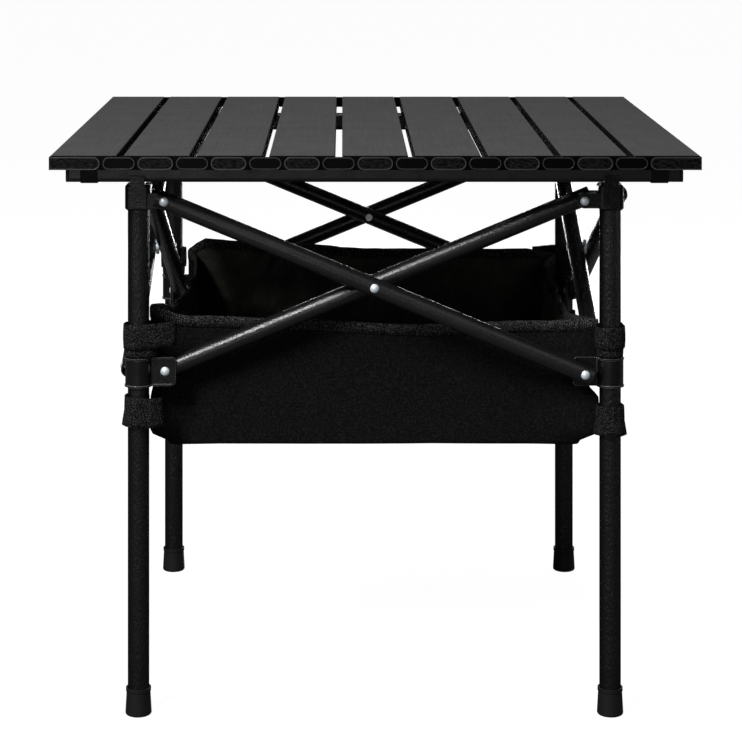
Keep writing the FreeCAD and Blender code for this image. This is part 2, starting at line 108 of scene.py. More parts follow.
# The top edge along each side, as (share of the side, height above the CAD bag's top). The straps
# draw the corners up or down by different amounts, and the edge hangs slack between them.
EDGE_HEIGHTS = (
    ((0.0, 0.0125), (0.06, 0.0005), (0.3, -0.0025), (0.6, -0.0075), (0.9, -0.0040), (1.0, 0.0010)),
    ((0.0, 0.0010), (0.12, -0.0040), (0.5, -0.0090), (0.88, -0.0070), (1.0, -0.0060)),
    ((0.0, -0.0060), (0.07, 0.0015), (0.5, 0.0020), (0.75, 0.0070), (0.955, 0.0110), (1.0, -0.0020)),
    ((0.0, -0.0020), (0.16, -0.0190), (0.5, -0.0140), (0.8, -0.0050), (1.0, 0.0125)),
)

# The straps draw each corner out to its leg, by this much along X and Y and over this length of
# wall, with powers that say how fast the pull fades along it. They do so above the base, and less
# behind the collar than at the straps.
CORNER_PULLS = (0.0165, 0.0165, 0.0165, 0.010)
PULL_LENGTH = 0.045
PULL_AT_COLLAR = 0.4
SIDEWAYS_PULL_AT_COLLAR = 0.85
PULL_POWER = 2
PULL_POWER_BESIDE_BAR = 8
PULL_RISE_ABOVE_BASE = 0.016
UPPER_PULL_START = COLLAR_HIGH.z - 0.012
UPPER_PULL_RISE = 0.010
LOWER_PULL_RISE = 0.014
# The middle of a rounded corner lies this far in from the square corner, along each side.
BEND_INSET = BAG_CORNER_RADIUS * (1 - math.sqrt(0.5))

# Walls. Values in fours are for the front, right, back and left. Reaches, starts, rises and falls
# are shares of a side, and the ripples' rate is in radians along it.
WALL_RUMPLE = (0.002, 0.008, 0.010, 0.008)
RUMPLE_REACH = 1 / 3
CREASES_PER_METRE = 11
CREASE_SLANT = 8
CREASE_RISE = 9
FINE_CREASE_SHARE = 0.35
FINE_CREASE_RATIO = 3
RIPPLE_DEPTH = 0.0014
RIPPLE_RATE = 61
RIPPLE_REACH = 0.3
WALL_INSET = 0.002
WALL_SINK = 0.004
SINK_REACH = 1 / 8
# How far the top of each side leans out, beyond the end of the inner bar that it hangs beside.
WALL_LEAN = (0.0, 0.004, 0.0, 0.009)
LEAN_START = 0.3
LEAN_RISE = 0.25
LEAN_FALL = 0.15

# Base.
BASE_SAG = 0.007
BASE_RUMPLE = 0.003
BASE_LUMPS_PER_METRE = 16
BASE_EDGE_REACH = 1 / 4
BASE_NOISE_PLANE = 3.0

# Folding: pleats open in each side, and the cloth gathers to a small square between the legs.
FOLDED_BAG_HALF = 0.0225
PLEATS_PER_SIDE = 9
PLEAT_DEPTH = 0.012
SHALLOW_PLEAT = 0.0025
PLEAT_REACH = 0.1
DEEP_PLEAT_START = 0.42
DEEP_PLEAT_RISE = 0.12
BASE_WITH_COLLAR = 0.75
BASE_FOLD = 0.10
BASE_FOLDS = 3

# Binding tape over the top edge. The spread makes its inner and outer faces wave differently.
BINDING_WIDTH = 0.0095
BINDING_THICKNESS = 0.0016
BINDING_SWELL = 1.2
BINDING_CROWN = 0.8
BINDING_WAVE = 0.0006
BINDING_WAVES_PER_METRE = 120
BINDING_WAVE_SPREAD = 1000
BINDING_CORNER_REACH = 0.04

# ---------------------------------------------------------------- the straps
# Values in fours are for the legs, in the order of CORNERS. Gaps are left round the leg, reaches
# say how far the free ends go from the leg's axis, and tilts are rises per metre. The wobble's
# spread makes straps at different heights wobble differently.
STRAP_THICKNESS = 0.0015
STRAP_ROWS = 6
STRAP_CROWN = 0.0004
STRAP_WOBBLE = 0.0007
WOBBLES_PER_STEP = 0.7
WOBBLE_SPREAD = 100
WRAP_START = math.radians(42)
WRAP_TURN = math.radians(253)
WRAP_STEPS = 26
FREE_STEPS = 7
FREE_END_SIDE = -0.0015
FREE_END_BOW = 0.0025
UPPER_LOW = STRAP_HIGH.z - 0.02275
UPPER_WIDTHS = (0.0215, 0.0190, 0.0215, 0.0205)
UPPER_GAPS = (0.0022, 0.0018, 0.0022, 0.0022)
UPPER_REACHES = (0.033, 0.028, 0.032, 0.027)
UPPER_FLARES = (0.0, 0.0, 0.001, 0.0)
UPPER_TILTS = (0.05, 0.03, -0.04, 0.06)
INNER_LOW = COLLAR_HIGH.z + 0.001
INNER_WIDTH = 0.015
INNER_GAP = 0.0004
INNER_REACH = 0.016
LOWER_DROPS = (0.00275, 0.01075, 0.00675, 0.00375)
LOWER_WIDTH = 0.0255
LOWER_GAP = 0.0012
LOWER_REACH = 0.021
LOWER_FLARE = -0.0025

# ---------------------------------------------------------------- camera, floor and lights
CAMERA_PLACE = Vector((-0.028, -2.202, 0.737))
CAMERA_LENS = 109.36
CAMERA_SENSOR = 36.0
CAMERA_SHIFT = (0.0382, -0.6615)
CAMERA_TOLERANCE = 0.001
WHITE = (1.0, 1.0, 1.0, 1.0)
FLOOR_HALF = 20.0
FLOOR_COLOUR = (0.10, 0.10, 0.10, 1.0)
FLOOR_GLOW = 0.97
SURROUND_COLOUR = (0.95, 0.97, 1.0, 1.0)
SURROUND_GLOW = 0.06
LIGHT_TARGET = Vector((0.0, 0.0, 0.35))
# Each light's name, place, size and power in watts. The last two stand lower than the table's
# top, and light only its sides and back.
LIGHTS = (
    ("key", (-1.15, -1.75, 1.9), (0.6, 0.9), 75.0),
    ("broad", (1.1, -1.9, 1.8), (1.8, 1.4), 5.0),
    ("low_front", (-0.6, -2.6, 0.5), (1.2, 0.8), 5.0),
    ("overhead", (0.0, 0.3, 2.4), (1.6, 1.0), 24.0),
    ("rear_fill", (0.5, 2.3, 0.25), (1.8, 0.36), 34.0),
    ("right_fill", (2.3, 0.5, 0.25), (1.4, 0.36), 3.0),
)


# ---------------------------------------------------------------- nodes for materials
def grey(level, blue=1.03):
    """A grey. It is slightly cool unless the ratio of its blue to its red and green is given."""
    return (level, level, level * blue)


def new_material(name, **settings):
    """A material with one Principled shader, whose inputs take the settings: _ stands for a space
    in an input's name. Returns the material, its node tree and the shader."""
    made = bpy.data.materials.new(name)
    made.use_nodes = True
    shader = made.node_tree.nodes["Principled BSDF"]
    for setting, value in settings.items():
        shader.inputs[setting.replace("_", " ")].default_value = value
    return made, made.node_tree, shader


def coordinates(tree, stretch=(1.0, 1.0, 1.0), source="Object"):
    """Texture coordinates in metres, stretched per axis."""
    place = tree.nodes.new("ShaderNodeTexCoord")
    mapping = tree.nodes.new("ShaderNodeMapping")
    mapping.inputs["Scale"].default_value = stretch
    tree.links.new(place.outputs[source], mapping.inputs["Vector"])
    return mapping.outputs["Vector"]


def grain(tree, vector, scale, detail=2.0):
    """Noise between 0 and 1; scale is lumps per metre."""
    node = tree.nodes.new("ShaderNodeTexNoise")
    node.inputs["Scale"].default_value = scale
    node.inputs["Detail"].default_value = detail
    tree.links.new(vector, node.inputs["Vector"])
    return node.outputs["Fac"]


def cells(tree, vector, scale):
    """Distance to the nearest of many scattered points; scale is points per metre."""
    node = tree.nodes.new("ShaderNodeTexVoronoi")
    node.inputs["Scale"].default_value = scale
    tree.links.new(vector, node.inputs["Vector"])
    return node.outputs["Distance"]


def threads(tree, vector, axis, scale):
    """Parallel threads across one axis; scale sets how many there are to the metre."""
    node = tree.nodes.new("ShaderNodeTexWave")
    node.bands_direction = axis
    node.inputs["Scale"].default_value = scale
    node.inputs["Distortion"].default_value = 0.6
    tree.links.new(vector, node.inputs["Vector"])
    return node.outputs["Fac"]


def ramp(tree, value, low, high, start=0.3, stop=0.7):
    """Goes from low to high while the value goes from start to stop."""
    node = tree.nodes.new("ShaderNodeMapRange")
    node.inputs["From Min"].default_value = start
    node.inputs["From Max"].default_value = stop
    node.inputs["To Min"].default_value = low
    node.inputs["To Max"].default_value = high
    tree.links.new(value, node.inputs["Value"])
    return node.outputs["Result"]


def calculate(tree, operation, first, second=0.0):
    """A math node; second may be a socket or a number."""
    node = tree.nodes.new("ShaderNodeMath")
    node.operation = operation
    tree.links.new(first, node.inputs[0])
    if isinstance(second, (int, float)):
        node.inputs[1].default_value = second
    else:
        tree.links.new(second, node.inputs[1])
    return node.outputs["Value"]


def component(tree, vector, axis):
    """One component of a vector, without its sign."""
    node = tree.nodes.new("ShaderNodeSeparateXYZ")
    tree.links.new(vector, node.inputs["Vector"])
    return calculate(tree, "ABSOLUTE", node.outputs[axis])


def blend_colour(tree, factor, dark, light):
    """A colour between two, by factor. Each of the two may be a colour or a socket."""
    node = tree.nodes.new("ShaderNodeMix")
    node.data_type = "RGBA"
    for name, colour in (("A", dark), ("B", light)):
        if isinstance(colour, tuple):
            node.inputs[name].default_value = (*colour, 1.0)
        else:
            tree.links.new(colour, node.inputs[name])
    tree.links.new(factor, node.inputs["Factor"])
    return node.outputs["Result"]


def rounded_normal(tree, radius, samples):
    """The normal of a mesh as if its sharp edges were rounded."""
    bevel = tree.nodes.new("ShaderNodeBevel")
    bevel.samples = samples
    bevel.inputs["Radius"].default_value = radius
    return bevel.outputs["Normal"]


def add_bump(tree, shader, height, depth, edge_radius=0.0):
    """Bump of a depth in metres; edge_radius also rounds the sharp edges of the CAD mesh."""
    node = tree.nodes.new("ShaderNodeBump")
    node.inputs["Distance"].default_value = depth
    node.inputs["Strength"].default_value = 1.0
    tree.links.new(height, node.inputs["Height"])
    if edge_radius:
        tree.links.new(rounded_normal(tree, edge_radius, samples=4), node.inputs["Normal"])
    tree.links.new(node.outputs["Normal"], shader.inputs["Normal"])


def painted_edge_highlight(tree, radius):
    """A mask for painted edge highlights: 1 on the sharp edges of a mesh, fading to 0 away from them."""
    flat = tree.nodes.new("ShaderNodeNewGeometry")
    meeting = tree.nodes.new("ShaderNodeVectorMath")
    meeting.operation = "DOT_PRODUCT"
    tree.links.new(rounded_normal(tree, radius, samples=6), meeting.inputs[0])
    tree.links.new(flat.outputs["Normal"], meeting.inputs[1])
    return ramp(tree, meeting.outputs["Value"], low=1.0, high=0.0, start=0.80, stop=0.97)


# ---------------------------------------------------------------- coatings of the CAD pieces
def powder_coat(name, colour, roughness, peel, shine=0.5, outline_shine=0.5, stretch=(1.0, 1.0, 1.0)):
    """Satin powder coat on tube: orange peel of a depth in metres and a slightly uneven gloss. Its
    shine may change from the middle of the tube to its outline, and its peel may be stretched."""
    made, tree, shader = new_material(name, Base_Color=(*colour, 1.0))
    place = coordinates(tree, stretch)
    gloss = ramp(tree, grain(tree, place, scale=60.0), low=roughness - 0.05, high=roughness + 0.06)
    tree.links.new(gloss, shader.inputs["Roughness"])
    edgewise = tree.nodes.new("ShaderNodeLayerWeight").outputs["Facing"]
    level = ramp(tree, edgewise, low=shine, high=outline_shine, start=0.1, stop=0.6)
    tree.links.new(level, shader.inputs["Specular IOR Level"])
    add_bump(tree, shader, grain(tree, place, scale=750.0, detail=3.0), peel, edge_radius=0.0004)
    return made


def slat_coat():
    """Fine dark grey powder coat with faint marks drawn along the extrusion. Faces that stand
    upright, in the gaps between slats, are painted darker as painted shade, and are duller than those that
    lie flat."""
    made, tree, shader = new_material("slat_coat")
    place = coordinates(tree)
    drawn = coordinates(tree, stretch=(60.0, 1.5, 60.0))
    fine = calculate(tree, "MULTIPLY", grain(tree, place, scale=420.0, detail=4.0), 3.0)
    both = calculate(tree, "ADD", grain(tree, place, scale=30.0), fine)
    mottle = ramp(tree, both, low=0.0, high=1.0, start=1.3, stop=2.7)
    colour = blend_colour(tree, mottle, grey(0.033), grey(0.060))
    normal = tree.nodes.new("ShaderNodeNewGeometry").outputs["Normal"]
    flatness = ramp(tree, component(tree, normal, "Z"), low=0.0, high=1.0, start=0.1, stop=0.8)
    # Painted shade: faces that stand upright, in the gaps between slats, are painted near black.
    colour = blend_colour(tree, flatness, grey(0.003), colour)
    tree.links.new(colour, shader.inputs["Base Color"])
    level = ramp(tree, flatness, low=0.05, high=0.5, start=0.0, stop=1.0)
    tree.links.new(level, shader.inputs["Specular IOR Level"])
    marks = ramp(tree, grain(tree, drawn, scale=6.0, detail=3.0), low=0.38, high=0.48)
    dullness = ramp(tree, flatness, low=0.95, high=0.0, start=0.0, stop=1.0)
    tree.links.new(calculate(tree, "MAXIMUM", marks, dullness), shader.inputs["Roughness"])
    add_bump(tree, shader, grain(tree, place, scale=2600.0), depth=0.00006, edge_radius=0.0005)
    return made


def moulded_caps():
    """Moulded slat ends. Caps stand proud and links lie a little behind them; the raised rims are
    painted lighter than the fields inside them as painted highlights, the faces further back are
    painted darker as painted shade, and the cap fields carry patches of painted sheen. The faces
    are told apart by how far out they are."""
    made, tree, shader = new_material("moulded_caps", Roughness=0.32)
    outward_place = component(tree, coordinates(tree), "Y")
    relief_and_sheen = grain(tree, coordinates(tree, stretch=(1.0, 1.0, 2.5)), scale=260.0, detail=4.0)
    # Painted sheen: lighter patches in the cap fields stand in for soft reflections.
    patches = ramp(tree, relief_and_sheen, low=0.0, high=1.0, start=0.4, stop=0.62)
    cap_field_painted_sheen = blend_colour(tree, patches, grey(0.0008), grey(0.010))
    # Painted shade: the link fields and the faces behind them are painted near black. Painted highlights:
    # the rims, which stand out, are painted lighter than the fields inside them.
    colour = grey(0.0010)
    shine = grey(0.05, 1.0)
    behind = LINK_FIELD_DEPTH
    for depth, face_colour, face_shine in (
        (LINK_RIM_DEPTH, grey(0.017), grey(0.35, 1.0)),
        (CAP_FIELD_DEPTH, cap_field_painted_sheen, grey(0.05, 1.0)),
        (0.0, grey(0.028), grey(0.4, 1.0)),
    ):
        in_front = calculate(tree, "GREATER_THAN", outward_place, CAP_FACE - (depth + behind) / 2)
        colour = blend_colour(tree, in_front, colour, face_colour)
        shine = blend_colour(tree, in_front, shine, face_shine)
        behind = depth
    tree.links.new(colour, shader.inputs["Base Color"])
    tree.links.new(shine, shader.inputs["Specular IOR Level"])
    add_bump(tree, shader, relief_and_sheen, depth=0.00015, edge_radius=0.0005)
    return made


def nylon():
    """Black moulded nylon, glossy and a little scuffed, with painted highlights along its edges."""
    made, tree, shader = new_material("nylon", Specular_IOR_Level=0.3)
    place = coordinates(tree)
    scuff = ramp(tree, grain(tree, place, scale=320.0, detail=6.0), low=0.0, high=1.0, start=0.6, stop=0.72)
    colour = blend_colour(tree, scuff, grey(0.004), grey(0.03))
    # Painted highlight: the sharp edges are painted lighter grey.
    colour = blend_colour(tree, painted_edge_highlight(tree, radius=0.0008), colour, grey(0.085))
    tree.links.new(colour, shader.inputs["Base Color"])
    gloss = ramp(tree, grain(tree, place, scale=90.0), low=0.22, high=0.40)
    tree.links.new(gloss, shader.inputs["Roughness"])
    add_bump(tree, shader, grain(tree, place, scale=500.0, detail=3.0), depth=0.0003, edge_radius=0.0008)
    return made


def gloss_steel():
    """Glossy black stamped steel, with painted highlights along its edges."""
    made, tree, shader = new_material(
        "gloss_steel", Specular_IOR_Level=0.25, Coat_Weight=0.3, Coat_Roughness=0.12
    )
    place = coordinates(tree)
    # Painted highlight: the sharp edges are painted much lighter than the black steel.
    colour = blend_colour(tree, painted_edge_highlight(tree, radius=0.0007), grey(0.004), grey(0.20))
    tree.links.new(colour, shader.inputs["Base Color"])
    gloss = ramp(tree, grain(tree, place, scale=130.0, detail=4.0), low=0.16, high=0.34)
    tree.links.new(gloss, shader.inputs["Roughness"])
    add_bump(tree, shader, grain(tree, place, scale=700.0), depth=0.00012, edge_radius=0.0009)
    return made


def bright_zinc():
    """Zinc-plated rivets and washers."""
    made, tree, shader = new_material("bright_zinc", Base_Color=(0.84, 0.92, 0.98, 1.0), Metallic=0.5)
    place = coordinates(tree)
    gloss = ramp(tree, grain(tree, place, scale=700.0, detail=4.0), low=0.30, high=0.50)
    tree.links.new(gloss, shader.inputs["Roughness"])
    add_bump(tree, shader, grain(tree, place, scale=900.0), depth=0.00015, edge_radius=0.0003)
    return made


def rubber(name, level):
    """Matte rubber with a dusty bloom, from a grey level to nearly twice as light."""
    made, tree, shader = new_material(name, Roughness=0.7, Specular_IOR_Level=0.3)
    place = coordinates(tree)
    bloom = ramp(tree, grain(tree, place, scale=150.0, detail=5.0), low=0.0, high=1.0)
    tree.links.new(blend_colour(tree, bloom, grey(level), grey(1.8 * level)), shader.inputs["Base Color"])
    add_bump(tree, shader, grain(tree, place, scale=1600.0), depth=0.0001, edge_radius=0.0006)
    return made


SLOT_MATERIALS = {
    "leg_tube": powder_coat(
        "leg_coat", grey(0.0022), roughness=0.35, peel=0.0011, shine=0.45, outline_shine=0.03,
        stretch=(1.0, 1.0, 0.4),
    ),
    "bar_tube": powder_coat("bar_coat", grey(0.007), roughness=0.27, peel=0.0003),
    "rail_tube": powder_coat("rail_coat", grey(0.014), roughness=0.40, peel=0.0002),
    "slat_aluminium": slat_coat(),
    "cap_nylon": moulded_caps(),
    "hub_nylon": nylon(),
    "foot_rubber": rubber("foot_rubber", 0.0026),
    "rail_rubber": rubber("rail_rubber", 0.004),
    "collar_steel": gloss_steel(),
    "rivet_zinc": bright_zinc(),
}


def paint_cad_pieces():
    """Gives every shown CAD node the coating of its material slot."""
    for part in frame["record"]["subparts"]:
        coating = SLOT_MATERIALS.get(part["material_slot"])
        if coating is not None:
            mesh = frame["nodes"][part["node"]].data
            mesh.materials.clear()
            mesh.materials.append(coating)


# ---------------------------------------------------------------- textiles
def textile(name, scale, dark, light, gloss=0.12, start=0.45, stop=0.62):
    """A dull textile flecked from dark to light, where a fine grain goes from start to stop.
    Returns it with its tree, its shader and the grain."""
    made, tree, shader = new_material(name, Roughness=0.9, Specular_IOR_Level=gloss)
    flecks = grain(tree, coordinates(tree), scale, detail=3.0)
    tone = ramp(tree, flecks, low=0.0, high=1.0, start=start, stop=stop)
    tree.links.new(blend_colour(tree, tone, dark, light), shader.inputs["Base Color"])
    return made, tree, shader, flecks


def loop_pile():
    """Loop side of hook-and-loop tape: black pile with grey flecks."""
    made, tree, shader, flecks = textile(
        "loop_pile", scale=900.0, dark=grey(0.0012, 1.0), light=grey(0.046, 1.0), start=0.47, stop=0.66
    )
    loops = calculate(tree, "ADD", cells(tree, coordinates(tree), scale=1100.0), flecks)
    add_bump(tree, shader, loops, depth=0.0010)
    return made


def outer_cloth():
    """Outside of the bag: dull black woven nylon."""
    made, tree, shader, flecks = textile(
        "outer_cloth", scale=640.0, dark=grey(0.0013, 1.0), light=grey(0.0080, 1.0)
    )
    place = coordinates(tree, source="UV")
    warp = threads(tree, place, "X", scale=260.0)
    weft = threads(tree, place, "Y", scale=260.0)
    weave = calculate(tree, "ADD", calculate(tree, "MULTIPLY", warp, weft), flecks)
    add_bump(tree, shader, weave, depth=0.0004)
    return made


def inner_cloth():
    """Inside of the bag: thin coated nylon, very dark olive, in soft folds."""
    made, tree, shader = new_material("inner_cloth", Specular_IOR_Level=0.3)
    slanted = coordinates(tree, stretch=(1.0, 0.55, 1.0), source="UV")
    folds = grain(tree, slanted, scale=13.0, detail=3.0)
    crackle = grain(tree, slanted, scale=70.0, detail=3.0)
    patches = grain(tree, slanted, scale=24.0, detail=5.0)
    tone = ramp(tree, patches, low=0.0, high=1.0, start=0.35, stop=0.68)
    colour = blend_colour(tree, tone, (0.0016, 0.0021, 0.0011), (0.023, 0.028, 0.017))
    tree.links.new(colour, shader.inputs["Base Color"])
    tree.links.new(ramp(tree, crackle, low=0.48, high=0.7), shader.inputs["Roughness"])
    relief = calculate(tree, "ADD", folds, calculate(tree, "MULTIPLY", crackle, 0.2))
    add_bump(tree, shader, relief, depth=0.020)
    return made


def heather_tape():
    """Binding tape: black tape heathered with pale grey threads."""
    made, tree, shader, flecks = textile(
        "heather_tape", scale=1150.0, dark=grey(0.002, 1.0), light=grey(0.125, 0.984),
        gloss=0.1, start=0.49, stop=0.68,
    )
    ribs = threads(tree, coordinates(tree, source="UV"), "X", scale=300.0)
    add_bump(tree, shader, calculate(tree, "ADD", ribs, flecks), depth=0.0005)
    return made


# ---------------------------------------------------------------- meshes
def mesh_object(name, points, faces, materials, uvs=None):
    """A smooth-shaded mesh object; uvs holds one pair, in metres, for each point."""
    mesh = bpy.data.meshes.new(name)
    mesh.from_pydata(points, [], faces)
    for coating in materials:
        mesh.materials.append(coating)
    mesh.polygons.foreach_set("use_smooth", [True] * len(mesh.polygons))
    if uvs is not None:
        layer = mesh.uv_layers.new(name="metres")
        for loop in mesh.loops:
            layer.data[loop.index].uv = uvs[loop.vertex_index]
    made = bpy.data.objects.new(name, mesh)
    bpy.context.scene.collection.objects.link(made)
    return made


def loft_faces(rows, size, closed=False):
    """Quads that join rows of points, where each row is a closed loop of one size. If closed, the
    last row is joined to the first."""
    faces = []
    for row in range(rows if closed else rows - 1):
        here = row * size
        there = (row + 1) % rows * size
        for step in range(size):
            ahead = (step + 1) % size
            faces.append((here + step, there + step, there + ahead, here + ahead))
    return faces


def smoothstep(x):
    """Goes smoothly from 0 to 1 as x does."""
    x = min(1.0, max(0.0, x))
    return x * x * (3 - 2 * x)


def wave(x):
    """A smooth wave between 0 and 1 that is 0 at whole numbers."""
    return 0.5 - 0.5 * math.cos(2 * math.pi * x)


def outward(side):
    """The direction that a side faces: front, right, back or left for 0 to 3."""
    return Vector((math.sin(side * QUARTER_TURN), -math.cos(side * QUARTER_TURN), 0))


def turned(x, y, quarters):
    """A point in plan, turned anticlockwise about the origin."""
    cosine, sine = math.cos(quarters * QUARTER_TURN), math.sin(quarters * QUARTER_TURN)
    return x * cosine - y * sine, x * sine + y * cosine


# ---------------------------------------------------------------- following the folding frame
def share_of_far_legs(x):
    """How much of the far legs' travel a point at x (or y) takes, so that the bag gathers to
    FOLDED_BAG_HALF on each side of the folded frame's middle."""
    gathered = FOLDED_BAG_HALF / BAG_HALF
    return 0.5 + (1 - gathered) * x / LEG_TRAVEL


def corner_shares(right, back):
    """The weights of the four corners from the shares of the right and the back legs."""
    right = min(1.0, max(0.0, right))
    back = min(1.0, max(0.0, back))
    return (
        (1 - right) * (1 - back),
        right * (1 - back),
        right * back,
        (1 - right) * back,
    )


def follow_frame(obj, body, shares):
    """Hooks a soft piece to the legs and collars, which only shift. Each entry of shares holds a
    point's four corner weights and the part of them that goes to the collars."""
    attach(obj, body)
    for corner, name in enumerate(CORNERS):
        for kind in ("leg", "collar"):
            group = obj.vertex_groups.new(name=f"{name}_{kind}")
            for index, (weights, with_collar) in enumerate(shares):
                part = with_collar if kind == "collar" else 1 - with_collar
                if weights[corner] * part > 0:
                    group.add([index], weights[corner] * part, "REPLACE")
            hook = obj.modifiers.new(group.name, "HOOK")
            hook.object = frame["bodies"][f"{name}_{kind}"]
            hook.vertex_group = group.name
            hook.falloff_type = "NONE"


# ---------------------------------------------------------------- storage bag
def front_outline(half):
    """Plan of the bag's front, from the middle of its left corner to that of its right corner."""
    straight = half - BAG_CORNER_RADIUS
    points = []
    for step in range(POINTS_PER_HALF_BEND):
        angle = QUARTER_TURN * (2.5 + 0.5 * step / POINTS_PER_HALF_BEND)
        x = -straight + BAG_CORNER_RADIUS * math.cos(angle)
        points.append((x, -straight + BAG_CORNER_RADIUS * math.sin(angle)))
    for step in range(POINTS_PER_SIDE + 1):
        points.append((straight * (2 * step / POINTS_PER_SIDE - 1), -half))
    for step in range(1, POINTS_PER_HALF_BEND):
        angle = QUARTER_TURN * (3 + 0.5 * step / POINTS_PER_HALF_BEND)
        x = straight + BAG_CORNER_RADIUS * math.cos(angle)
        points.append((x, -straight + BAG_CORNER_RADIUS * math.sin(angle)))
    return points


def bag_outline():
    """Plan of the bag, a square with round corners, anticlockwise from the middle of the front
    left corner. Each point comes with its side and how far along that side it is, from 0 to 1."""
    half = BAG_HALF - WALL_CLEARANCE
    outline = []
    for side in range(4):
        for x, y in front_outline(half):
            along = (x + half) / (2 * half)
            outline.append((*turned(x, y, side), side, along))
    return outline


def edge_height(side, along):
    """Height of the bag's top edge, blended smoothly between the heights set for its side."""
    knots = EDGE_HEIGHTS[side]
    for (start, low), (stop, high) in zip(knots, knots[1:]):
        if along <= stop:
            break
    return BAG_HIGH.z + low + (high - low) * smoothstep((along - start) / (stop - start))


def corner_pull(corner, from_corner, z, starting):
    """How the straps draw a wall near a corner out to the leg, towards the outside of both sides
    that meet there. An inner bar ends beside the leg on the side that starts at the corner, so the
    wall there is drawn mostly along itself, and turns to the leg only at the very corner."""
    from_bend = max(0.0, from_corner * 2 * BAG_HALF - BEND_INSET)
    closeness = 1 - min(1.0, from_bend / PULL_LENGTH)
    above_base = smoothstep((z - BAG_LOW.z) / PULL_RISE_ABOVE_BASE)
    at_upper = smoothstep((z - UPPER_PULL_START) / UPPER_PULL_RISE)
    at_lower = smoothstep((COLLAR_LOW.z - z) / LOWER_PULL_RISE)
    at_straps = at_upper + at_lower
    sideways = SIDEWAYS_PULL_AT_COLLAR + (1 - SIDEWAYS_PULL_AT_COLLAR) * at_straps
    forwards = PULL_AT_COLLAR + (1 - PULL_AT_COLLAR) * at_straps
    power = PULL_POWER_BESIDE_BAR if starting else PULL_POWER
    to_ending_side = outward(corner - 1) * closeness ** PULL_POWER * sideways
    to_starting_side = outward(corner) * closeness ** power * forwards
    return (to_ending_side + to_starting_side) * above_base * CORNER_PULLS[corner]


def wall_point(x, y, side, along, depth):
    """A point of the wall; depth runs from 0 at the top edge to 1 at the base."""
    top = edge_height(side, along)
    z = top + (BAG_LOW.z - top) * depth
    from_corner = min(along, 1 - along)
    starting = along < 0.5
    corner = side if starting else (side + 1) % 4
    hang = math.sin(math.pi * depth)
    ripple = RIPPLE_DEPTH * math.sin(along * RIPPLE_RATE + side) * hang
    ripple *= 1 - smoothstep(from_corner / RIPPLE_REACH)
    across = CREASES_PER_METRE
    slanted = Vector((x * across + z * CREASE_SLANT, y * across - z * CREASE_SLANT, z * CREASE_RISE))
    creases = noise.noise(slanted) + FINE_CREASE_SHARE * noise.noise(FINE_CREASE_RATIO * slanted)
    rumple = WALL_RUMPLE[side] * creases * min(1.0, from_corner / RUMPLE_REACH)
    sunk = WALL_INSET + WALL_SINK * math.sin(math.pi * along) * hang + WALL_RUMPLE[side] / 2
    beyond_bar = smoothstep((along - LEAN_START) / LEAN_RISE) * smoothstep((1 - along) / LEAN_FALL)
    lean = WALL_LEAN[side] * beyond_bar * (1 - depth) ** 2
    shift = ripple + rumple + lean - sunk * min(1.0, from_corner / SINK_REACH)
    pull = corner_pull(corner, from_corner, z, starting)
    return Vector((x, y, z)) + outward(side) * shift + pull


def base_point(x, y, inset):
    """A point of the base; inset runs from 0 at the walls to 1 in the middle."""
    x, y = x * (1 - inset), y * (1 - inset)
    scale = BASE_LUMPS_PER_METRE
    lumps = noise.noise(Vector((x * scale, y * scale, BASE_NOISE_PLANE)))
    rumple = BASE_RUMPLE * lumps * smoothstep(inset / BASE_EDGE_REACH)
    return Vector((x, y, BAG_LOW.z - BASE_SAG * smoothstep(inset) + rumple))


def wall_share(point, side, along, depth):
    """Corner weights of a wall point, with pleats that open only as the frame folds: shallow ones
    beside the end of the inner bar, deep ones beyond it. The top edge goes down with the collars;
    the base goes down less and gathers up."""
    fade = smoothstep(min(along, 1 - along) / PLEAT_REACH)
    beyond_bar = smoothstep((along - DEEP_PLEAT_START) / DEEP_PLEAT_RISE)
    deepness = SHALLOW_PLEAT + (PLEAT_DEPTH - SHALLOW_PLEAT) * beyond_bar
    pleat = outward(side) * (deepness * wave(along * PLEATS_PER_SIDE) * fade / LEG_TRAVEL)
    gather = corner_shares(share_of_far_legs(point.x) - pleat.x, share_of_far_legs(point.y) - pleat.y)
    return gather, 1 - (1 - BASE_WITH_COLLAR) * smoothstep(depth)


def base_share(point, inset):
    """Corner weights of a base point. The base goes down in rings, some a little less."""
    gather = corner_shares(share_of_far_legs(point.x), share_of_far_legs(point.y))
    return gather, BASE_WITH_COLLAR - BASE_FOLD * wave(inset * BASE_FOLDS)


def storage_bag():
    """One continuous cup of cloth: rows of points down the walls and in over the base, which a fan
    of triangles closes in the middle."""
    outline = bag_outline()
    count = len(outline)
    points, uvs, shares = [], [], []
    for row in range(WALL_ROWS + 1):
        depth = row / WALL_ROWS
        for index, (x, y, side, along) in enumerate(outline):
            points.append(wall_point(x, y, side, along, depth))
            uvs.append((8 * BAG_HALF * index / count, points[-1].z))
            shares.append(wall_share(points[-1], side, along, depth))
    rim = points[-count:]
    for row in range(1, BASE_RINGS + 1):
        inset = row / (BASE_RINGS + 1)
        for rim_point in rim:
            points.append(base_point(rim_point.x, rim_point.y, inset))
            uvs.append((points[-1].x, points[-1].y))
            shares.append(base_share(points[-1], inset))
    rows = WALL_ROWS + 1 + BASE_RINGS
    faces = loft_faces(rows, count)
    middle = len(points)
    points.append(base_point(0.0, 0.0, 1.0))
    uvs.append((0.0, 0.0))
    shares.append(base_share(points[-1], 1.0))
    last_ring = (rows - 1) * count
    for index in range(count):
        faces.append((last_ring + index, middle, last_ring + (index + 1) % count))
    bag = mesh_object("storage_bag_cloth", points, faces, [outer_cloth(), inner_cloth()], uvs)
    follow_frame(bag, "front_left_collar", shares)
    thick = bag.modifiers.new("cloth_thickness", "SOLIDIFY")
    thick.thickness = FABRIC
    thick.offset = -1.0
    thick.material_offset = 1
    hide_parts("storage_bag")


